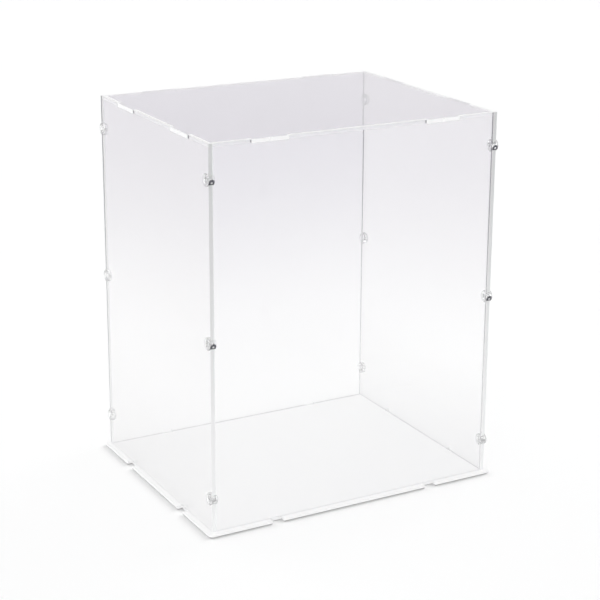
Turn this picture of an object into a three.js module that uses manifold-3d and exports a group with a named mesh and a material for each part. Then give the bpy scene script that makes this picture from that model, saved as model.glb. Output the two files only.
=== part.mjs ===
// Table-top display case: a clear box that stands on a thin white base plate.
// Four clear walls, a drop-in clear lid, and moulded clips that hold the corners.
// Millimetres, +Z up. The origin is the centre of the base plate's underside,
// +X runs to the right and +Y to the back.

import * as THREE from 'three';
import { mergeVertices } from 'three/addons/utils/BufferGeometryUtils.js';
import Module from 'manifold-3d';

const wasm = await Module();
wasm.setup();

// Overall sizes
const caseWidth = 250; // over the outer faces of the left and right walls
const caseDepth = 200; // over the outer faces of the front and back walls
const displayHeight = 300; // clear height between base plate and lid
const sheet = 3; // clear sheet, used for walls and lid

// Base plate
const baseSheet = 3;
const baseOverhang = 4; // how far the plate stands out past the walls
const baseCornerRadius = 4;
const notchCornerRadius = 1;

// Wall feet that drop into notches in the base plate's edge
const footWidth = 9;
const sideFootInset = 50; // from a side wall's outer corner to the middle of its foot
const endFootInset = 55; // the same on the front and back walls
const footSideClearance = 0.5;
const footLift = 0.25; // the feet end this far above the table

// Lid tongues that drop into notches in the walls' top edges
const tongueWidth = 30;
const tongueInset = 50;
const tongueSideClearance = 0.5;
const reliefRadius = 0.9; // half-round relief in the middle of each tongue

// Fit between neighbouring sheets
const seamGap = 0.25;
const outlineSegments = 3; // sets how finely the outlines' round corners are faceted

// Corner clips: a round barrel with two crossing slots
const clipRadius = 5;
const clipFlange = 1.25; // thickness of the flange on each side of a side wall
const clipNose = 1.75; // how far the barrel stands out in front of the wall
const clipInset = 27; // from the walls' top and bottom edges to the outer clips
const clipRows = 3;
const clipClearance = 0.15;
const clipRimRadius = 0.6;
const clipDishRadius = 2.4; // shallow round dish in the middle of each flange
const clipDishDepth = 0.4;
const clipDishSlope = 0.4;
const coreHeight = 2.6; // the bar that joins the flanges through the wall's notch
const coreDepth = 6;
const coreNotchRadius = 0.5;
const clipSegments = 24; // around the barrel
const clipRimSteps = 2; // along each rounded rim

// Worked out from the sizes above
const baseWidth = caseWidth + 2 * baseOverhang;
const baseDepth = caseDepth + 2 * baseOverhang;
const wallBottom = baseSheet;
const wallHeight = displayHeight + sheet;
const innerWallWidth = caseWidth - 2 * sheet - 2 * seamGap;
const lidWidth = caseWidth - 2 * sheet - 2 * seamGap;
const lidDepth = caseDepth - 2 * sheet - 2 * seamGap;
const tongueReach = sheet + seamGap;
const footDrop = baseSheet - footLift;
const footPocket = baseOverhang + sheet + seamGap;

const clearMaterial = () => new THREE.MeshStandardMaterial({
  color: 0xe9e7ee,
  roughness: 0.05,
  metalness: 0,
  transparent: true,
  opacity: 0.25,
});
const clipMaterial = () => new THREE.MeshStandardMaterial({
  color: 0xdfe2e4,
  roughness: 0.12,
  metalness: 0,
  transparent: true,
  opacity: 0.5,
});
const baseMaterial = () => new THREE.MeshStandardMaterial({
  color: 0xf7f7f7,
  roughness: 0.3,
  metalness: 0,
});

// ---- Flat outlines -------------------------------------------------------

// A closed outline of square corners, each rounded by its own radius (0 stays sharp).
function outlineShape(corners) {
  const shape = new THREE.Shape();
  corners.forEach(({ point, radius }, index) => {
    const before = corners.at(index - 1).point;
    const after = corners[(index + 1) % corners.length].point;
    const back = before.clone().sub(point).setLength(radius);
    const ahead = after.clone().sub(point).setLength(radius);
    const entry = point.clone().add(back);
    if (index === 0) shape.moveTo(entry.x, entry.y);
    else shape.lineTo(entry.x, entry.y);
    if (radius > 0) {
      const centre = point.clone().add(back).add(ahead);
      const from = Math.atan2(-ahead.y, -ahead.x);
      const to = Math.atan2(-back.y, -back.x);
      shape.absarc(centre.x, centre.y, radius, from, to, back.cross(ahead) > 0);
    }
  });
  shape.closePath();
  return shape;
}

// The corners along one straight edge, walked with the sheet on the left hand.
// A feature steps out by `step` (or in, when it is negative) over `width`.
function edgeCorners(start, end, startRadius, features) {
  const along = end.clone().sub(start).normalize();
  const outward = new THREE.Vector2(along.y, -along.x);
  const corners = [{ point: start, radius: startRadius }];
  const addCorner = (distance, step, radius) => {
    const point = start.clone().addScaledVector(along, distance).addScaledVector(outward, step);
    corners.push({ point, radius });
  };
  features.forEach(({ centre, width, step, radius = 0, relief = 0 }) => {
    addCorner(centre - width / 2, 0, 0);
    addCorner(centre - width / 2, step, radius);
    if (relief > 0) {
      addCorner(centre - relief, step, 0);
      addCorner(centre - relief, step - relief, relief);
      addCorner(centre + relief, step - relief, relief);
      addCorner(centre + relief, step, 0);
    }
    addCorner(centre + width / 2, step, radius);
    addCorner(centre + width / 2, 0, 0);
  });
  return corners;
}

// A rectangle centred on x, standing from yLow to yHigh, with features on its four edges.
function sheetShape({ width, yLow, yHigh, radius = 0, bottom = [], right = [], top = [], left = [] }) {
  const lowLeft = new THREE.Vector2(-width / 2, yLow);
  const lowRight = new THREE.Vector2(width / 2, yLow);
  const highRight = new THREE.Vector2(width / 2, yHigh);
  const highLeft = new THREE.Vector2(-width / 2, yHigh);
  return outlineShape([
    ...edgeCorners(lowLeft, lowRight, radius, bottom),
    ...edgeCorners(lowRight, highRight, radius, right),
    ...edgeCorners(highRight, highLeft, radius, top),
    ...edgeCorners(highLeft, lowLeft, radius, left),
  ]);
}

// The same feature near both ends of an edge. `span` is the length that the inset is
// measured on, which can be longer than the edge itself.
function endPair(edgeLength, span, inset, feature) {
  const offset = span / 2 - inset;
  return [-offset, offset].map((place) => ({ centre: edgeLength / 2 + place, ...feature }));
}

function extrudeSheet(shape, thickness) {
  const settings = { depth: thickness, bevelEnabled: false, curveSegments: outlineSegments };
  return new THREE.ExtrudeGeometry(shape, settings);
}

// ---- Base plate and sheets -----------------------------------------------

function basePlate() {
  const notch = {
    width: footWidth + 2 * footSideClearance,
    step: -footPocket,
    radius: notchCornerRadius,
  };
  const alongWidth = endPair(baseWidth, caseWidth, endFootInset, notch);
  const alongDepth = endPair(baseDepth, caseDepth, sideFootInset, notch);
  const shape = sheetShape({
    width: baseWidth,
    yLow: -baseDepth / 2,
    yHigh: baseDepth / 2,
    radius: baseCornerRadius,
    bottom: alongWidth,
    right: alongDepth,
    top: alongWidth,
    left: alongDepth,
  });
  const mesh = new THREE.Mesh(extrudeSheet(shape, baseSheet), baseMaterial());
  mesh.name = 'base_plate';
  return mesh;
}

// Feet and tongue notches are set out on the outer length of the wall's side of the case.
function wallFeatures(edgeLength, outerLength, footInset) {
  const foot = { width: footWidth, step: footDrop };
  const tongueNotch = { width: tongueWidth + 2 * tongueSideClearance, step: -sheet };
  return {
    bottom: endPair(edgeLength, outerLength, footInset, foot),
    top: endPair(edgeLength, outerLength, tongueInset, tongueNotch),
  };
}

function clipHeights() {
  const spacing = (wallHeight - 2 * clipInset) / (clipRows - 1);
  return Array.from({ length: clipRows }, (_, row) => clipInset + row * spacing);
}

// Left and right walls run the full depth and carry the notches for the clips.
function sideWall(name, innerX) {
  const clipNotch = {
    width: coreHeight + 2 * clipClearance,
    step: -(coreDepth + clipClearance),
    radius: coreNotchRadius,
  };
  const clipNotches = clipHeights().map((height) => ({ centre: height, ...clipNotch }));
  const shape = sheetShape({
    width: caseDepth,
    yLow: 0,
    yHigh: wallHeight,
    ...wallFeatures(caseDepth, caseDepth, sideFootInset),
    right: clipNotches,
    left: clipNotches, // the clips are spaced alike from both ends
  });
  const mesh = new THREE.Mesh(extrudeSheet(shape, sheet), clearMaterial());
  mesh.name = name;
  mesh.rotation.set(Math.PI / 2, Math.PI / 2, 0); // outline x to +Y, y to +Z, thickness to +X
  mesh.position.set(innerX, 0, wallBottom);
  return mesh;
}

// Front and back walls stand between the side walls.
function endWall(name, backY) {
  const shape = sheetShape({
    width: innerWallWidth,
    yLow: 0,
    yHigh: wallHeight,
    ...wallFeatures(innerWallWidth, caseWidth, endFootInset),
  });
  const mesh = new THREE.Mesh(extrudeSheet(shape, sheet), clearMaterial());
  mesh.name = name;
  mesh.rotation.set(Math.PI / 2, 0, 0); // outline y to +Z, thickness to -Y
  mesh.position.set(0, backY, wallBottom);
  return mesh;
}

// The lid drops in between the walls until its tongues sit on the notch floors.
function lidPanel() {
  const tongue = { width: tongueWidth, step: tongueReach, relief: reliefRadius };
  const alongWidth = endPair(lidWidth, caseWidth, tongueInset, tongue);
  const alongDepth = endPair(lidDepth, caseDepth, tongueInset, tongue);
  const shape = sheetShape({
    width: lidWidth,
    yLow: -lidDepth / 2,
    yHigh: lidDepth / 2,
    bottom: alongWidth,
    right: alongDepth,
    top: alongWidth,
    left: alongDepth,
  });
  const mesh = new THREE.Mesh(extrudeSheet(shape, sheet), clearMaterial());
  mesh.name = 'top_panel';
  mesh.position.set(0, 0, wallBottom + displayHeight);
  return mesh;
}

// ---- Corner clips --------------------------------------------------------

function toSolid(geometry) {
  geometry.deleteAttribute('normal');
  geometry.deleteAttribute('uv');
  const merged = mergeVertices(geometry);
  const source = merged.index.array;
  const kept = [];
  for (let i = 0; i < source.length; i += 3) {
    const [a, b, c] = [source[i], source[i + 1], source[i + 2]];
    if (a !== b && b !== c && c !== a) kept.push(a, b, c);
  }
  const vertProperties = new Float32Array(merged.attributes.position.array);
  return new wasm.Manifold(new wasm.Mesh({ numProp: 3, vertProperties, triVerts: new Uint32Array(kept) }));
}

function toGeometry(solid) {
  const { vertProperties, triVerts } = solid.getMesh();
  const geometry = new THREE.BufferGeometry();
  geometry.setAttribute('position', new THREE.BufferAttribute(vertProperties, 3));
  geometry.setIndex(new THREE.BufferAttribute(triVerts, 1));
  return geometry;
}

function boxBetween(low, high) {
  const size = high.map((value, axis) => value - low[axis]);
  const box = new THREE.BoxGeometry(...size);
  box.translate(...low.map((value, axis) => value + size[axis] / 2));
  return toSolid(box);
}

// Half of the barrel's section, from its middle plane out to the dish on the axis.
function barrelHalfSection(halfLength) {
  const rim = Array.from({ length: clipRimSteps + 1 }, (_, step) => {
    const angle = (step / clipRimSteps) * Math.PI / 2;
    const radius = clipRadius - clipRimRadius + clipRimRadius * Math.cos(angle);
    const height = halfLength - clipRimRadius + clipRimRadius * Math.sin(angle);
    return new THREE.Vector2(radius, height);
  });
  return [
    ...rim,
    new THREE.Vector2(clipDishRadius, halfLength),
    new THREE.Vector2(clipDishRadius - clipDishSlope, halfLength - clipDishDepth),
    new THREE.Vector2(0, halfLength - clipDishDepth),
  ];
}

// One clip, seen from its corner: the origin is the case's outer corner line at the clip's
// mid height, +X runs inward along the front wall and +Y inward along the side wall.
function clipSolid() {
  const halfLength = sheet / 2 + clipFlange;
  const upper = barrelHalfSection(halfLength);
  const lower = upper.map(({ x, y }) => new THREE.Vector2(x, -y)).reverse();
  const barrelShape = new THREE.LatheGeometry([...lower, ...upper], clipSegments);
  barrelShape.rotateZ(-Math.PI / 2);
  barrelShape.translate(sheet / 2, clipRadius - clipNose, 0);
  const barrel = toSolid(barrelShape);

  const beyond = 2 * clipRadius;
  const wallSlot = boxBetween(
    [-clipClearance, -clipClearance, -beyond],
    [sheet + clipClearance, beyond, beyond],
  );
  const core = boxBetween(
    [-clipClearance, -clipClearance, -coreHeight / 2],
    [sheet + clipClearance, coreDepth, coreHeight / 2],
  );
  const endSlot = boxBetween(
    [sheet + seamGap - clipClearance, -clipClearance, -beyond],
    [beyond, sheet + clipClearance, beyond],
  );
  return barrel.subtract(wallSlot.subtract(core)).subtract(endSlot);
}

// Half turns bring the one moulding to each of the four corners.
const corners = [
  { name: 'front_left', x: -caseWidth / 2, y: -caseDepth / 2, turn: [0, 0, 0] },
  { name: 'front_right', x: caseWidth / 2, y: -caseDepth / 2, turn: [0, Math.PI, 0] },
  { name: 'back_right', x: caseWidth / 2, y: caseDepth / 2, turn: [0, 0, Math.PI] },
  { name: 'back_left', x: -caseWidth / 2, y: caseDepth / 2, turn: [Math.PI, 0, 0] },
];

function cornerClips() {
  const solid = clipSolid();
  const group = new THREE.Group();
  corners.forEach(({ name, x, y, turn }) => {
    clipHeights().forEach((height, row) => {
      const mesh = new THREE.Mesh(toGeometry(solid), clipMaterial());
      mesh.name = `clip_${name}_${row + 1}`;
      mesh.position.set(x, y, wallBottom + height);
      mesh.rotation.set(...turn);
      group.add(mesh);
    });
  });
  return group;
}

// ---- Assembly ------------------------------------------------------------

const group = new THREE.Group();
group.add(basePlate());
group.add(sideWall('left_panel', -caseWidth / 2));
group.add(sideWall('right_panel', caseWidth / 2 - sheet));
group.add(endWall('front_panel', -caseDepth / 2 + sheet));
group.add(endWall('back_panel', caseDepth / 2));
group.add(lidPanel());
group.add(cornerClips());

export default group;
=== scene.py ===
import math

import bmesh
import bpy
from mathutils import Matrix, Quaternion, Vector


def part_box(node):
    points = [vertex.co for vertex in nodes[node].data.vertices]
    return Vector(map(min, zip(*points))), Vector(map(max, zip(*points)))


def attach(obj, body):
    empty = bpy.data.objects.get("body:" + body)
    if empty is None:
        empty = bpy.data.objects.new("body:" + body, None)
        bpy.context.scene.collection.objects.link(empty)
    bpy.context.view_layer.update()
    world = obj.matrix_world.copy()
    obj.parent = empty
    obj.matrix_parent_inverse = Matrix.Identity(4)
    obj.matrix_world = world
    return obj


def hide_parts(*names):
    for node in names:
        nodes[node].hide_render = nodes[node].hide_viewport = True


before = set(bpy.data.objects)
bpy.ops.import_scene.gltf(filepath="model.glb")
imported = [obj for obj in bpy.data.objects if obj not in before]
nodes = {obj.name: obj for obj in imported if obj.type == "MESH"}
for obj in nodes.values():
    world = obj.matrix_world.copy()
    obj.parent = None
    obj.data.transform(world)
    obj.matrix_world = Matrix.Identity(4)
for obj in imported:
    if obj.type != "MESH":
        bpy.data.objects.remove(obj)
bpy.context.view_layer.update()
scene = bpy.context.scene
mm = 0.001
print("frame loaded:", len(nodes), "nodes")


# camera, set to the photograph's viewpoint

cameraView = {
    "azimuth": -30.08,  # degrees, 0 looks along +Y
    "elevation": 16.77,
    "roll": 0.68,
    "target": Vector((38.9, 0, 168.7)) * mm,  # on the lens axis, a little beside and above the middle
    "distance": 1389 * mm,
    "lens": 100.4,
    "shift": (-0.06, -0.063),  # places the case in the frame as in the cropped photograph
    "sensorWidth": 36,
    "clipStart": 0.05,
    "clipEnd": 60,
}


def directionFrom(azimuth, elevation):
    turn, rise = math.radians(azimuth), math.radians(elevation)
    return Vector((math.sin(turn) * math.cos(rise), -math.cos(turn) * math.cos(rise), math.sin(rise)))


def addCamera(view):
    data = bpy.data.cameras.new("studioCamera")
    data.lens = view["lens"]
    data.sensor_width = view["sensorWidth"]
    data.shift_x, data.shift_y = view["shift"]
    data.clip_start = view["clipStart"]
    data.clip_end = view["clipEnd"]
    camera = bpy.data.objects.new("studioCamera", data)
    scene.collection.objects.link(camera)
    back = directionFrom(view["azimuth"], view["elevation"])
    level = (-back).to_track_quat("-Z", "Y")
    camera.rotation_mode = "QUATERNION"
    camera.rotation_quaternion = level @ Quaternion((0, 0, 1), math.radians(view["roll"]))
    camera.location = view["target"] + back * view["distance"]
    scene.camera = camera


addCamera(cameraView)
print("camera placed")


# light: a pale room that darkens overhead, two soft lamps behind and a low fill in front

studioLight = {
    "roomColour": (1, 1, 1),  # what lights the pieces and the floor
    "roomStrength": 0.48,
    "horizonColour": (0.99, 0.99, 0.99),  # what clear plastic shows of the room, level with the case
    "ceilingColour": (0.06, 0.06, 0.065),  # and overhead
    "ceilingStarts": 0.12,  # height of the direction where the room starts to darken
    "ceilingEnds": 0.75,
}
softLamps = {
    "backLamp": {"azimuth": 104, "elevation": 30, "spread": 36, "strength": 1.8},
    "farLamp": {"azimuth": 200, "elevation": 30, "spread": 36, "strength": 1.15},
    "frontFill": {"azimuth": -40, "elevation": 8, "spread": 50, "strength": 1.7},
}


colourLow, colourHigh, colourMixed = 6, 7, 2  # a colour Mix node's sockets, by their place


def addNode(tree, kind, place=(0, 0), **values):
    node = tree.nodes.new(kind)
    node.location = place
    for name, value in values.items():
        setattr(node, name, value)
    return node


def feed(tree, socket, term):
    # the term is a number, a colour or another node's output
    if isinstance(term, bpy.types.NodeSocket):
        tree.links.new(term, socket)
    elif isinstance(term, tuple):
        socket.default_value = (*term, 1)
    else:
        socket.default_value = term


def calculate(tree, place, operation, *terms):
    node = addNode(tree, "ShaderNodeMath", place, operation=operation)
    for socket, term in zip(node.inputs, terms):
        feed(tree, socket, term)
    return node.outputs[0]


def ramp(tree, place, value, low, high, easing="SMOOTHSTEP", lowest=0):
    # the lowest result where the value is low, up to 1 where it is high
    node = addNode(tree, "ShaderNodeMapRange", place, interpolation_type=easing)
    for label, term in (("Value", value), ("From Min", low), ("From Max", high), ("To Min", lowest)):
        feed(tree, node.inputs[label], term)
    return node.outputs["Result"]


def mixColours(tree, place, low, high, factor):
    mix = addNode(tree, "ShaderNodeMix", place, data_type="RGBA")
    feed(tree, mix.inputs[0], factor)
    feed(tree, mix.inputs[colourLow], low)
    feed(tree, mix.inputs[colourHigh], high)
    return mix.outputs[colourMixed]


def mixShaders(tree, place, low, high, factor):
    mix = addNode(tree, "ShaderNodeMixShader", place)
    for socket, term in zip(mix.inputs, (factor, low, high)):
        feed(tree, socket, term)
    return mix.outputs[0]


def addBackground(tree, place, colour, strength=1):
    node = addNode(tree, "ShaderNodeBackground", place)
    feed(tree, node.inputs["Color"], colour)
    feed(tree, node.inputs["Strength"], strength)
    return node.outputs[0]


def addRoom(light):
    # the camera sees the horizon, clear plastic sees it darken overhead, all else is lit evenly
    world = bpy.data.worlds.new("paleRoom")
    world.use_nodes = True
    tree = world.node_tree
    tree.nodes.clear()
    output = addNode(tree, "ShaderNodeOutputWorld", (800, 0))
    path = addNode(tree, "ShaderNodeLightPath", (-200, 500))
    glossy, transmitted = path.outputs["Is Glossy Ray"], path.outputs["Is Transmission Ray"]
    direction = addNode(tree, "ShaderNodeTexCoord", (-800, -200))
    split = addNode(tree, "ShaderNodeSeparateXYZ", (-600, -200))
    tree.links.new(direction.outputs["Generated"], split.inputs[0])
    rise = ramp(tree, (-400, -200), split.outputs["Z"], light["ceilingStarts"], light["ceilingEnds"])
    shade = mixColours(tree, (-200, -200), light["horizonColour"], light["ceilingColour"], rise)
    room = addBackground(tree, (0, 200), light["roomColour"], light["roomStrength"])
    horizon = addBackground(tree, (0, 0), light["horizonColour"])
    studio = addBackground(tree, (0, -200), shade)
    inPlastic = calculate(tree, (0, 400), "MAXIMUM", glossy, transmitted)
    seen = calculate(tree, (200, 400), "MAXIMUM", path.outputs["Is Camera Ray"], inPlastic)
    shown = mixShaders(tree, (400, -100), horizon, studio, inPlastic)
    tree.links.new(mixShaders(tree, (600, 0), room, shown, seen), output.inputs["Surface"])
    scene.world = world


def addLamp(name, look):
    data = bpy.data.lights.new(name, "SUN")
    data.energy = look["strength"]
    data.angle = math.radians(look["spread"])
    lamp = bpy.data.objects.new(name, data)
    scene.collection.objects.link(lamp)
    toLamp = directionFrom(look["azimuth"], look["elevation"])
    lamp.rotation_mode = "QUATERNION"
    lamp.rotation_quaternion = (-toLamp).to_track_quat("-Z", "Y")
    lamp.location = toLamp
    lamp.visible_glossy = False  # its disc isn't mirrored in the lid or the plate from any side
    lamp.visible_transmission = False


addRoom(studioLight)
for name, look in softLamps.items():
    addLamp(name, look)
scene.view_settings.view_transform = "Standard"
print("light set")


# shared shader effects

def newGroup(name, inputs, outputs):
    tree = bpy.data.node_groups.new(name, "ShaderNodeTree")
    for label, kind, value in inputs:
        socket = tree.interface.new_socket(name=label, in_out="INPUT", socket_type=kind)
        socket.default_value = value
    for label, kind in outputs:
        tree.interface.new_socket(name=label, in_out="OUTPUT", socket_type=kind)
    start = addNode(tree, "NodeGroupInput", (-800, 0))
    end = addNode(tree, "NodeGroupOutput", (800, 0))
    return tree, start, end


def heightFadeGroup():
    # 1 from the Top height up, easing to 0 over the Reach below it
    tree, start, end = newGroup(
        "heightFade",
        [("Top", "NodeSocketFloat", 300 * mm), ("Reach", "NodeSocketFloat", 200 * mm)],
        [("Fade", "NodeSocketFloat")],
    )
    place = addNode(tree, "ShaderNodeTexCoord", (-800, 250))
    split = addNode(tree, "ShaderNodeSeparateXYZ", (-600, 250))
    tree.links.new(place.outputs["Object"], split.inputs[0])
    below = calculate(tree, (-400, 0), "SUBTRACT", start.outputs["Top"], start.outputs["Reach"])
    fade = ramp(tree, (0, 0), split.outputs["Z"], below, start.outputs["Top"])
    tree.links.new(fade, end.inputs["Fade"])
    return tree


hazePattern = {
    "cloudScale": 14,
    "cloudDetail": 4,
    "speckScale": 260,
    "speckRim": 0.09,  # these two are shares of the space between specks
    "speckCore": 0.03,
}


def fineHazeGroup(pattern):
    # the faint unevenness of a handled clear sheet: roughness and a very shallow wave
    tree, start, end = newGroup(
        "fineHaze",
        [
            ("Roughness", "NodeSocketFloat", 0.02),
            ("Variation", "NodeSocketFloat", 0.02),
            ("Specks", "NodeSocketFloat", 0.05),
        ],
        [("Roughness", "NodeSocketFloat"), ("Wave", "NodeSocketFloat")],
    )
    place = addNode(tree, "ShaderNodeTexCoord", (-800, 300))
    cloud = addNode(tree, "ShaderNodeTexNoise", (-500, 300))
    cloud.inputs["Scale"].default_value = pattern["cloudScale"]
    cloud.inputs["Detail"].default_value = pattern["cloudDetail"]
    dust = addNode(tree, "ShaderNodeTexVoronoi", (-500, 0))
    dust.inputs["Scale"].default_value = pattern["speckScale"]
    tree.links.new(place.outputs["Object"], cloud.inputs["Vector"])
    tree.links.new(place.outputs["Object"], dust.inputs["Vector"])
    away, clouds = dust.outputs["Distance"], cloud.outputs["Fac"]
    variation, roughness = start.outputs["Variation"], start.outputs["Roughness"]
    speck = ramp(tree, (-250, 0), away, pattern["speckRim"], pattern["speckCore"], "LINEAR")
    varied = calculate(tree, (0, 200), "MULTIPLY_ADD", clouds, variation, roughness)
    dusted = calculate(tree, (250, 100), "MULTIPLY_ADD", speck, start.outputs["Specks"], varied)
    tree.links.new(dusted, end.inputs["Roughness"])
    tree.links.new(clouds, end.inputs["Wave"])
    return tree


streakDetail = 2


def cutStreaksGroup(detail):
    # fine streaks across a sheet's cut edge, left by the cutting beam
    tree, start, end = newGroup(
        "cutStreaks",
        [("Scale", "NodeSocketFloat", 900)],
        [("Streak", "NodeSocketFloat")],
    )
    place = addNode(tree, "ShaderNodeTexCoord", (-800, 300))
    streak = addNode(tree, "ShaderNodeTexNoise", (-300, 100))
    streak.inputs["Detail"].default_value = detail
    tree.links.new(place.outputs["Object"], streak.inputs["Vector"])
    tree.links.new(start.outputs["Scale"], streak.inputs["Scale"])
    tree.links.new(streak.outputs["Fac"], end.inputs["Streak"])
    return tree


shadeBlend = {
    "dot": 2,  # the pale dot fades out at this many times its radius
    "ring": 0.8,  # the ring is full from this share of its radius inward
}


def noseShadeGroup(blend):
    # 1 in a small ring of painted shade low on the nose of each front clip, around a pale dot
    tree, start, end = newGroup(
        "noseShade",
        [
            ("Inset", "NodeSocketFloat", 2 * mm),
            ("Skin", "NodeSocketFloat", 0.6 * mm),
            ("Drop", "NodeSocketFloat", 1.4 * mm),
            ("Radius", "NodeSocketFloat", 2.5 * mm),
            ("Dot", "NodeSocketFloat", 0.7 * mm),
        ],
        [("Shade", "NodeSocketFloat"), ("Height", "NodeSocketFloat")],
    )
    inClip = addNode(tree, "ShaderNodeTexCoord", (-800, 500))
    point = addNode(tree, "ShaderNodeNewGeometry", (-800, 250))
    home = addNode(tree, "ShaderNodeObjectInfo", (-800, 100))
    clipParts = addNode(tree, "ShaderNodeSeparateXYZ", (-600, 450))
    offset = addNode(tree, "ShaderNodeVectorMath", (-600, 250), operation="SUBTRACT")
    parts = addNode(tree, "ShaderNodeSeparateXYZ", (-400, 250))
    homeParts = addNode(tree, "ShaderNodeSeparateXYZ", (-400, 50))
    tree.links.new(inClip.outputs["Object"], clipParts.inputs[0])
    tree.links.new(point.outputs["Position"], offset.inputs[0])
    tree.links.new(home.outputs["Location"], offset.inputs[1])
    tree.links.new(home.outputs["Location"], homeParts.inputs[0])
    tree.links.new(offset.outputs[0], parts.inputs[0])

    # how far the point is from the ring's middle: across in the clip's own coordinates, and up in
    # the world's, because the front right clips are turned upside down
    joined = addNode(tree, "ShaderNodeCombineXYZ", (0, 300))
    length = addNode(tree, "ShaderNodeVectorMath", (150, 300), operation="LENGTH")
    inward = calculate(tree, (-150, 450), "SUBTRACT", clipParts.outputs["X"], start.outputs["Inset"])
    above = calculate(tree, (-150, 250), "ADD", parts.outputs["Z"], start.outputs["Drop"])
    tree.links.new(inward, joined.inputs["X"])
    tree.links.new(above, joined.inputs["Z"])
    tree.links.new(joined.outputs[0], length.inputs[0])
    away = length.outputs["Value"]

    # the ring, only on the moulding's outer skin and only on the front clips
    dotRim = calculate(tree, (0, -100), "MULTIPLY", start.outputs["Dot"], blend["dot"])
    ringRim = calculate(tree, (0, -250), "MULTIPLY", start.outputs["Radius"], blend["ring"])
    outside = ramp(tree, (300, 300), away, start.outputs["Dot"], dotRim)
    inside = ramp(tree, (300, 0), away, start.outputs["Radius"], ringRim)
    outward = calculate(tree, (-150, 350), "ADD", clipParts.outputs["Y"], start.outputs["Skin"])
    onSkin = calculate(tree, (0, 450), "LESS_THAN", outward, 0)
    atFront = calculate(tree, (300, -250), "LESS_THAN", homeParts.outputs["Y"], 0)
    ring = calculate(tree, (500, 150), "MULTIPLY", outside, inside)
    outer = calculate(tree, (500, -150), "MULTIPLY", onSkin, atFront)
    shade = calculate(tree, (650, 50), "MULTIPLY", ring, outer)
    tree.links.new(shade, end.inputs["Shade"])
    tree.links.new(homeParts.outputs["Z"], end.inputs["Height"])
    return tree


heightFade = heightFadeGroup()
fineHaze = fineHazeGroup(hazePattern)
cutStreaks = cutStreaksGroup(streakDetail)
noseShade = noseShadeGroup(shadeBlend)


# materials

def placeGroup(tree, group, place, **values):
    node = addNode(tree, "ShaderNodeGroup", place)
    node.node_tree = group
    for label, value in values.items():
        node.inputs[label].default_value = value
    return node


def newMaterial(name):
    material = bpy.data.materials.new(name)
    material.use_nodes = True
    tree = material.node_tree
    tree.nodes.clear()
    output = addNode(tree, "ShaderNodeOutputMaterial", (900, 0))
    surface = addNode(tree, "ShaderNodeBsdfPrincipled", (400, 0))
    return material, tree, surface, output


def addHaze(tree, surface, look):
    # uneven roughness and a shallow wave over the whole surface
    haze = placeGroup(
        tree, fineHaze, (-500, 0),
        Roughness=look["roughness"], Variation=look["variation"], Specks=look["specks"],
    )
    wave = addNode(tree, "ShaderNodeBump", (0, -300))
    wave.inputs["Distance"].default_value = look["waveDepth"]
    tree.links.new(haze.outputs["Wave"], wave.inputs["Height"])
    tree.links.new(haze.outputs["Roughness"], surface.inputs["Roughness"])
    tree.links.new(wave.outputs["Normal"], surface.inputs["Normal"])
    return haze.outputs["Wave"]


def letLampThrough(tree, surface, output, tint):
    # lamp and room light passes clear plastic with a slight loss, so the inside stays lit
    path = addNode(tree, "ShaderNodeLightPath", (200, 400))
    through = addNode(tree, "ShaderNodeBsdfTransparent", (400, 200))
    through.inputs["Color"].default_value = (*tint, 1)
    shadow, diffuse = path.outputs["Is Shadow Ray"], path.outputs["Is Diffuse Ray"]
    lighting = calculate(tree, (400, 400), "MAXIMUM", shadow, diffuse)
    mix = mixShaders(tree, (700, 100), surface.outputs[0], through.outputs[0], lighting)
    tree.links.new(mix, output.inputs["Surface"])


# painted light and shade: the sheets' tints, from the foot up, are the tones of the studio seen through
# them, painted into their colour; each wall and the lid has its own lit or shaded copy
clearSheet = {
    "footPaintedTone": (0.945, 0.944, 0.947),
    "lowPaintedTone": (0.995, 0.995, 0.996),
    "highPaintedTone": (0.925, 0.918, 0.93),
    "footTop": 110 * mm,
    "fadeTop": 290 * mm,
    "fadeReach": 200 * mm,
    "ior": 1.49,
    "roughness": 0.0,
    "variation": 0.01,
    "specks": 0.03,
    "waveDepth": 0.01 * mm,
    "lampTint": (0.985, 0.985, 0.986),
}
frontSheet = {**clearSheet, "footPaintedTone": (0.965, 0.964, 0.967), "highPaintedTone": (0.89, 0.883, 0.905)}
backSheet = {**clearSheet, "footPaintedTone": (0.99, 0.99, 0.991), "highPaintedTone": (0.858, 0.848, 0.878)}
leftSheet = {
    **clearSheet,
    "footPaintedTone": (0.935, 0.933, 0.934),
    "lowPaintedTone": (0.968, 0.966, 0.969),
    "highPaintedTone": (0.88, 0.87, 0.885),
}
# painted shade: the lid's grey-violet tone is the studio seen in it
lidPaintedTone = (0.745, 0.723, 0.772)
clearLid = {
    **clearSheet,
    "footPaintedTone": lidPaintedTone,
    "lowPaintedTone": lidPaintedTone,
    "highPaintedTone": lidPaintedTone,
    "lampTint": (0.93, 0.93, 0.93),
}


def clearSheetMaterial(name, look):
    material, tree, surface, output = newMaterial(name)
    addHaze(tree, surface, look)
    foot = placeGroup(tree, heightFade, (-500, 550), Top=look["footTop"], Reach=look["footTop"])
    fade = placeGroup(tree, heightFade, (-500, 300), Top=look["fadeTop"], Reach=look["fadeReach"])
    body = mixColours(tree, (-200, 300), look["lowPaintedTone"], look["highPaintedTone"], fade.outputs["Fade"])
    tint = mixColours(tree, (0, 400), look["footPaintedTone"], body, foot.outputs["Fade"])
    tree.links.new(tint, surface.inputs["Base Color"])
    surface.inputs["Transmission Weight"].default_value = 1
    surface.inputs["IOR"].default_value = look["ior"]
    letLampThrough(tree, surface, output, look["lampTint"])
    return material
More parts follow.
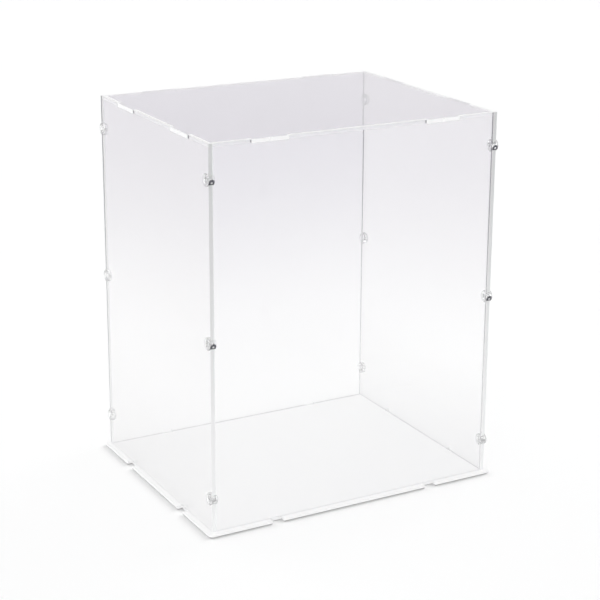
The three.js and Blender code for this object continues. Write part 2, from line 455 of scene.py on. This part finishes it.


# painted light and shade: a cut edge gathers more or less of the room by the way it looks, and that is
# painted into its colour; wallFinish picks which
cutEdge = {
    "lowPaintedTone": (0.9, 0.905, 0.91),
    "highPaintedTone": (0.63, 0.635, 0.64),
    "fadeTop": 306 * mm,
    "fadeReach": 300 * mm,
    "transmission": 0.08,
    "ior": 1.49,
    "roughness": 0.3,
    "streakScale": 900,
    "streakDepth": 0.03 * mm,
    "lampTint": (0.93, 0.93, 0.93),
}
# painted highlight on edges facing up or to the left, and a pale and a dark painted tone for other edges,
# the dark one darker towards the top
brightEdge = {**cutEdge, "lowPaintedTone": (0.97, 0.97, 0.975), "highPaintedTone": (0.97, 0.97, 0.975)}
paleEdge = {**cutEdge, "lowPaintedTone": (0.93, 0.93, 0.935), "highPaintedTone": (0.93, 0.93, 0.935)}
deepEdge = {**cutEdge, "lowPaintedTone": (0.68, 0.67, 0.69), "highPaintedTone": (0.18, 0.17, 0.2)}
# painted contact shadow along the lowest part of a foot, painted bright above it where the white plate shows
# through
footEdge = {
    **cutEdge,
    "lowPaintedTone": (0.3, 0.3, 0.3),
    "highPaintedTone": (0.97, 0.97, 0.975),
    "fadeTop": 1.4 * mm,
    "fadeReach": 0.6 * mm,
}


def cutEdgeMaterial(name, look):
    material, tree, surface, output = newMaterial(name)
    fade = placeGroup(tree, heightFade, (-700, 300), Top=look["fadeTop"], Reach=look["fadeReach"])
    tint = mixColours(tree, (-400, 300), look["lowPaintedTone"], look["highPaintedTone"], fade.outputs["Fade"])
    streaks = placeGroup(tree, cutStreaks, (-500, -300), Scale=look["streakScale"])
    bump = addNode(tree, "ShaderNodeBump", (0, -300))
    bump.inputs["Distance"].default_value = look["streakDepth"]
    tree.links.new(streaks.outputs["Streak"], bump.inputs["Height"])
    tree.links.new(tint, surface.inputs["Base Color"])
    tree.links.new(bump.outputs["Normal"], surface.inputs["Normal"])
    surface.inputs["Roughness"].default_value = look["roughness"]
    surface.inputs["Transmission Weight"].default_value = look["transmission"]
    surface.inputs["IOR"].default_value = look["ior"]
    letLampThrough(tree, surface, output, look["lampTint"])
    return material


clipPlastic = {
    "tint": (0.97, 0.97, 0.975),
    "outlinePaintedShade": (0.62, 0.62, 0.63),  # painted shade where a surface turns away from the eye
    "outlineBlend": 0.35,
    # painted shade of the dark ring on the front clips' noses
    "shadeTint": (0.01, 0.01, 0.015),
    "clearAlpha": 0.5,  # below 1, so the sheets show through the moulding
    "paleHeight": 30 * mm,  # the painted ring is weaker on the lowest clips, which stand against the bright plate and look paler
    "fullHeight": 120 * mm,  # the shade is full from here up
    "paleShade": 0.5,
    "ior": 1.45,
    "roughness": 0.06,
    "variation": 0.05,
    "specks": 0.0,
    "waveDepth": 0.05 * mm,
    "lampTint": (0.95, 0.95, 0.95),
    "shadeInset": 1.7 * mm,  # the ring's middle, inward of the case's corner
    "shadeSkin": 0.6 * mm,  # the shade starts this far in front of the wall
    "shadeDrop": 1.5 * mm,  # the ring's middle, below the clip's
    "shadeRadius": 2.9 * mm,
    "shadeDot": 0.5 * mm,
}


def clipPlasticMaterial(name, look):
    material, tree, surface, output = newMaterial(name)
    addHaze(tree, surface, look)
    shade = placeGroup(
        tree, noseShade, (-500, 300),
        Inset=look["shadeInset"], Skin=look["shadeSkin"], Drop=look["shadeDrop"],
        Radius=look["shadeRadius"], Dot=look["shadeDot"],
    )
    # painted shade: the nose ring, weaker on the lowest clips, and a darker outline where the surface turns
    # away from the eye
    height, low, high = shade.outputs["Height"], look["paleHeight"], look["fullHeight"]
    paler = ramp(tree, (-300, 450), height, low, high, "LINEAR", look["paleShade"])
    depth = calculate(tree, (-150, 400), "MULTIPLY", shade.outputs["Shade"], paler)
    turned = addNode(tree, "ShaderNodeLayerWeight", (-300, 700))
    turned.inputs["Blend"].default_value = look["outlineBlend"]
    outlined = mixColours(tree, (-100, 650), look["tint"], look["outlinePaintedShade"], turned.outputs["Facing"])
    tint = mixColours(tree, (0, 300), outlined, look["shadeTint"], depth)
    alpha = ramp(tree, (0, 100), depth, 0, 1, "LINEAR", look["clearAlpha"])
    tree.links.new(tint, surface.inputs["Base Color"])
    tree.links.new(alpha, surface.inputs["Alpha"])
    surface.inputs["Transmission Weight"].default_value = 1
    surface.inputs["IOR"].default_value = look["ior"]
    letLampThrough(tree, surface, output, look["lampTint"])
    return material


whiteSheet = {
    "colour": (0.98, 0.98, 0.98),
    "cloudColour": (0.965, 0.965, 0.968),
    "rimColour": (0.5, 0.5, 0.5),  # the lowest part of the edge, lost in the contact shadow, which is painted here
    "rimHeight": 1.4 * mm,
    "rimFade": 0.6 * mm,
    "roughness": 0.4,
    "variation": 0.08,
    "specks": 0.1,
    "specular": 0.2,
    "waveDepth": 0.02 * mm,
}


def whiteSheetMaterial(name, look):
    material, tree, surface, output = newMaterial(name)
    cloud = addHaze(tree, surface, look)
    rim = placeGroup(tree, heightFade, (-500, 300), Top=look["rimHeight"], Reach=look["rimFade"])
    cloudy = mixColours(tree, (-100, 300), look["colour"], look["cloudColour"], cloud)
    # painted contact shadow along the lowest part of the edge
    tint = mixColours(tree, (100, 300), look["rimColour"], cloudy, rim.outputs["Fade"])
    tree.links.new(tint, surface.inputs["Base Color"])
    surface.inputs["Specular IOR Level"].default_value = look["specular"]
    tree.links.new(surface.outputs[0], output.inputs["Surface"])
    return material


# the clear sheets' colours are painted studio tones, and the cut edges' colours painted light and shade
sheetFinish = clearSheetMaterial("clearSheet", clearSheet)
frontFinish = clearSheetMaterial("clearFront", frontSheet)
backFinish = clearSheetMaterial("clearBack", backSheet)
leftFinish = clearSheetMaterial("clearLeft", leftSheet)
lidFinish = clearSheetMaterial("clearLid", clearLid)
cutEdgeShading = cutEdgeMaterial("cutEdge", cutEdge)
brightEdgeShading = cutEdgeMaterial("brightEdge", brightEdge)
paleEdgeShading = cutEdgeMaterial("paleEdge", paleEdge)
deepEdgeShading = cutEdgeMaterial("deepEdge", deepEdge)
footEdgeShading = cutEdgeMaterial("footEdge", footEdge)
clipFinish = clipPlasticMaterial("clipPlastic", clipPlastic)
whiteFinish = whiteSheetMaterial("whiteSheet", whiteSheet)
print("materials made")


# clear sheets: the frame's own outlines with eased edges and their cut edges painted lighter or darker by
# the way they face

wallLooks = {
    "left_panel": {
        "thicknessAxis": 0,
        "faceFinish": leftFinish,
        "lowFinish": paleEdgeShading,
        "backFinish": deepEdgeShading,
    },
    "right_panel": {
        "thicknessAxis": 0,
        "faceFinish": sheetFinish,
        "lowFinish": deepEdgeShading,
        "backFinish": cutEdgeShading,
    },
    "front_panel": {
        "thicknessAxis": 1,
        "faceFinish": frontFinish,
        "lowFinish": paleEdgeShading,
        "backFinish": cutEdgeShading,
    },
    "back_panel": {
        "thicknessAxis": 1,
        "faceFinish": backFinish,
        "lowFinish": deepEdgeShading,
        "backFinish": cutEdgeShading,
    },
}
sheetMaking = {
    "edgeEase": 0.15 * mm,
    "footEase": 0.9 * mm,
    "easeSteps": 2,
    "level": 0.01 * mm,
    "contactGap": 0.03 * mm,  # lifts a resting face just off what carries it
    "sharpAngle": math.radians(30),
    "faceTilt": 0.95,  # how squarely a face looks along an axis to count as looking that way
    "topTilt": 0.7,
}
mergeDistance = 0.001 * mm
flatAngle = math.radians(1)
roundProfile = 0.5  # a bevel's profile that is part of a circle


def cleanCopy(node):
    # the node's solid with its doubled corners and flat triangles merged
    work = bmesh.new()
    work.from_mesh(node.data)
    bmesh.ops.remove_doubles(work, verts=work.verts, dist=mergeDistance)
    bmesh.ops.dissolve_limit(work, angle_limit=flatAngle, verts=work.verts, edges=work.edges)
    return work


def easeEdges(work, edges, ease, making):
    # rounds those of the edges that are sharp
    sharp = [edge for edge in edges if edge.calc_face_angle(0) > making["sharpAngle"]]
    bmesh.ops.bevel(
        work, geom=sharp, offset=ease, offset_type="OFFSET",
        segments=making["easeSteps"], profile=roundProfile, affect="EDGES", clamp_overlap=True,
    )


def easeLevel(work, height, ease, making):
    # rounds the sharp edges that lie at one height
    level = [edge for edge in work.edges if all(abs(v.co.z - height) < making["level"] for v in edge.verts)]
    easeEdges(work, level, ease, making)


def splitLevel(work, height):
    # cuts the faces along one level, so that each side of it can have its own finish
    parts = [*work.verts, *work.edges, *work.faces]
    bmesh.ops.bisect_plane(work, geom=parts, dist=mergeDistance, plane_co=(0, 0, height), plane_no=(0, 0, 1))


def finishMesh(name, work):
    mesh = bpy.data.meshes.new(name)
    work.to_mesh(mesh)
    work.free()
    return mesh


def makePiece(name, work, materials, nodeName, body):
    mesh = finishMesh(name, work)
    for material in materials:
        mesh.materials.append(material)
    piece = bpy.data.objects.new(name, mesh)
    scene.collection.objects.link(piece)
    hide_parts(nodeName)
    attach(piece, body)


def lift(work, height, making):
    # moves what rests at this height up by the contact gap
    for vertex in work.verts:
        if abs(vertex.co.z - height) < making["contactGap"]:
            vertex.co.z += making["contactGap"]


def wallFinish(face, thicknessAxis, making):
    # which finish, with its painted light or shade, a wall's face takes, by its height and the way it looks
    if face.calc_center_median().z < plateTop:
        return "foot"
    if abs(face.normal[thicknessAxis]) > making["faceTilt"]:
        return "face"
    if face.normal.z > making["topTilt"] or face.normal.x < -making["faceTilt"]:
        return "bright"
    if face.normal.z < -making["topTilt"]:
        return "low"
    if face.normal.x > making["faceTilt"]:
        return "deep"
    if face.normal.y > making["faceTilt"]:
        return "back"
    return "cut"


def wallPiece(nodeName, look, making):
    finishes = {
        "face": look["faceFinish"],
        "cut": cutEdgeShading,
        "bright": brightEdgeShading,
        "deep": deepEdgeShading,
        "low": look["lowFinish"],
        "back": look["backFinish"],
        "foot": footEdgeShading,
    }
    places = list(finishes)
    work = cleanCopy(nodes[nodeName])
    lift(work, plateTop, making)
    easeLevel(work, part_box(nodeName)[0].z, making["footEase"], making)
    easeEdges(work, work.edges, making["edgeEase"], making)
    work.normal_update()
    splitLevel(work, plateTop)
    for face in work.faces:
        face.material_index = places.index(wallFinish(face, look["thicknessAxis"], making))
    makePiece(nodeName + "_sheet", work, finishes.values(), nodeName, "walls")


def lidPiece(making):
    finishes = [lidFinish, brightEdgeShading]
    faceIndex, brightIndex = 0, 1
    work = cleanCopy(nodes["top_panel"])
    lift(work, lidBottom, making)
    easeEdges(work, work.edges, making["edgeEase"], making)
    work.normal_update()
    for face in work.faces:
        face.material_index = faceIndex if abs(face.normal.z) > making["faceTilt"] else brightIndex
    makePiece("top_panel_sheet", work, finishes, "top_panel", "lid")


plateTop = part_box("base_plate")[1].z
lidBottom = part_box("top_panel")[0].z
for nodeName, look in wallLooks.items():
    wallPiece(nodeName, look, sheetMaking)
lidPiece(sheetMaking)
print("sheets made")


# white base plate

plateMaking = {
    "topEase": 0.3 * mm,
    "lowerEase": 1.0 * mm,  # leaves the thin dark line where the plate meets the table
    "easeSteps": 3,
    "sharpAngle": math.radians(30),
    "level": 0.01 * mm,
}


def basePlatePiece(making):
    work = cleanCopy(nodes["base_plate"])
    easeLevel(work, plateTop, making["topEase"], making)
    easeLevel(work, 0, making["lowerEase"], making)
    makePiece("base_plate_sheet", work, [whiteFinish], "base_plate", "base")


basePlatePiece(plateMaking)
print("base plate made")


# corner clips: one moulding, turned over to fit each corner

clipMaking = {
    "segments": 72,  # around the barrel
    "rimRadius": 0.6 * mm,
    "rimSteps": 5,
    "dishRadius": 2.4 * mm,
    "dishSlope": 0.5 * mm,  # how much narrower the dish is at its bottom
    "dishDepth": 0.4 * mm,
    "slotClearance": 0.15 * mm,  # all round a sheet
    "endSlotLap": 0.05 * mm,  # the two slots overlap, so no skin is left between them
    "coreDepth": 6 * mm,
    "coreHeight": 2.6 * mm,
    "reach": 10 * mm,  # how far the cutting shapes go past the barrel
    "edgeEase": 0.12 * mm,
    "easeSteps": 2,
    "sharpAngle": math.radians(35),
}


def barrelProfile(radius, halfLength, making):
    # from the middle of one end, over the rim and to the middle of the other
    rim = making["rimRadius"]
    outer = [(0, halfLength - making["dishDepth"])]
    outer.append((making["dishRadius"] - making["dishSlope"], halfLength - making["dishDepth"]))
    outer.append((making["dishRadius"], halfLength))
    for step in range(making["rimSteps"] + 1):
        angle = math.radians(90) * step / making["rimSteps"]
        outer.append((radius - rim + rim * math.sin(angle), halfLength - rim + rim * math.cos(angle)))
    return [(away, -along) for away, along in outer] + [(away, along) for away, along in reversed(outer)]


def latheMesh(name, profile, centre, segments):
    # turns the profile about an axis along X through the centre
    work = bmesh.new()
    rings = []
    for away, along in profile:
        turns = [0] if away == 0 else [2 * math.pi * index / segments for index in range(segments)]
        spokes = [Vector((along, away * math.cos(turn), away * math.sin(turn))) for turn in turns]
        rings.append([work.verts.new(centre + spoke) for spoke in spokes])
    for ring, after in zip(rings, rings[1:]):
        for index in range(segments):
            onward = (index + 1) % segments
            corners = [ring[index % len(ring)], ring[onward % len(ring)]]
            corners += [after[onward % len(after)], after[index % len(after)]]
            work.faces.new(list(dict.fromkeys(corners)))
    bmesh.ops.recalc_face_normals(work, faces=work.faces)
    return finishMesh(name, work)


def prismMesh(name, outline, low, high):
    # an outline in Y and Z, drawn out along X
    work = bmesh.new()
    ends = [[work.verts.new((x, y, z)) for y, z in outline] for x in (low, high)]
    for end in ends:
        work.faces.new(end)
    for index in range(len(outline)):
        onward = (index + 1) % len(outline)
        work.faces.new([ends[0][index], ends[0][onward], ends[1][onward], ends[1][index]])
    bmesh.ops.recalc_face_normals(work, faces=work.faces)
    return finishMesh(name, work)


def carve(mesh, cutters):
    # the mesh less the cutters
    body = bpy.data.objects.new("carved", mesh)
    scene.collection.objects.link(body)
    tools = [bpy.data.objects.new(cutter.name, cutter) for cutter in cutters]
    for tool in tools:
        scene.collection.objects.link(tool)
        cut = body.modifiers.new("cut", "BOOLEAN")
        cut.operation = "DIFFERENCE"
        cut.solver = "EXACT"
        cut.object = tool
    bpy.context.view_layer.update()
    carved = bpy.data.meshes.new_from_object(body.evaluated_get(bpy.context.evaluated_depsgraph_get()))
    for scrap in (body, *tools):
        bpy.data.objects.remove(scrap)
    return carved


def clipMesh(making):
    # origin on the case's outer corner line, +X and +Y inward along the front and side walls
    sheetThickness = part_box("front_panel")[1].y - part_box("front_panel")[0].y
    clipLow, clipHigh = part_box("clip_front_left_1")
    corner = Vector((*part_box("left_panel")[0].xy, (clipLow.z + clipHigh.z) / 2))
    centre = (clipLow + clipHigh) / 2 - corner
    radius = (clipHigh.z - clipLow.z) / 2
    halfLength = (clipHigh.x - clipLow.x) / 2
    barrel = latheMesh("barrel", barrelProfile(radius, halfLength, making), centre, making["segments"])

    near = -making["slotClearance"]
    far = sheetThickness + making["slotClearance"]
    reach, core, half = making["reach"], making["coreDepth"], making["coreHeight"] / 2
    wallOutline = [(near, -reach), (reach, -reach), (reach, reach), (near, reach)]
    wallOutline += [(near, half), (core, half), (core, -half), (near, -half)]
    endOutline = [(near, -reach), (far, -reach), (far, reach), (near, reach)]
    wallSlot = prismMesh("wallSlot", wallOutline, near, far)
    endSlot = prismMesh("endSlot", endOutline, far - making["endSlotLap"], reach)

    work = bmesh.new()
    work.from_mesh(carve(barrel, [wallSlot, endSlot]))
    bmesh.ops.remove_doubles(work, verts=work.verts, dist=mergeDistance)
    easeEdges(work, work.edges, making["edgeEase"], making)
    mesh = finishMesh("cornerClip", work)
    mesh.shade_smooth()
    mesh.set_sharp_from_angle(angle=making["sharpAngle"])
    mesh.materials.append(clipFinish)
    return mesh


def clipTurn(cornerX, cornerY):
    # the half turn that carries the front left corner's clip to this corner
    if cornerX < 0 and cornerY < 0:
        return Matrix.Identity(4)
    axis = "Z" if cornerX > 0 and cornerY > 0 else "Y" if cornerX > 0 else "X"
    return Matrix.Rotation(math.pi, 4, axis)


def placeClip(nodeName, mesh):
    low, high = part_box(nodeName)
    middle = (low + high) / 2
    caseLow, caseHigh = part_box("left_panel")[0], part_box("right_panel")[1]
    cornerX = caseLow.x if middle.x < 0 else caseHigh.x
    cornerY = caseLow.y if middle.y < 0 else caseHigh.y
    piece = bpy.data.objects.new(nodeName + "_moulding", mesh)
    scene.collection.objects.link(piece)
    piece.matrix_world = Matrix.Translation((cornerX, cornerY, middle.z)) @ clipTurn(cornerX, cornerY)
    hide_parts(nodeName)
    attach(piece, "walls")


cornerClip = clipMesh(clipMaking)
for nodeName in nodes:
    if nodeName.startswith("clip_"):
        placeClip(nodeName, cornerClip)
print("clips made")


# floor

floorLook = {"colour": (0.97, 0.97, 0.97), "roughness": 0.9, "halfSize": 10}


def addFloor(look):
    material, tree, surface, output = newMaterial("paleFloor")
    surface.inputs["Base Color"].default_value = (*look["colour"], 1)
    surface.inputs["Roughness"].default_value = look["roughness"]
    surface.inputs["Specular IOR Level"].default_value = 0
    tree.links.new(surface.outputs[0], output.inputs["Surface"])
    size = look["halfSize"]
    corners = [(-size, -size, 0), (size, -size, 0), (size, size, 0), (-size, size, 0)]
    mesh = bpy.data.meshes.new("floor")
    mesh.from_pydata(corners, [], [(0, 1, 2, 3)])
    mesh.materials.append(material)
    floor = bpy.data.objects.new("floor", mesh)
    scene.collection.objects.link(floor)


addFloor(floorLook)
print("floor made")
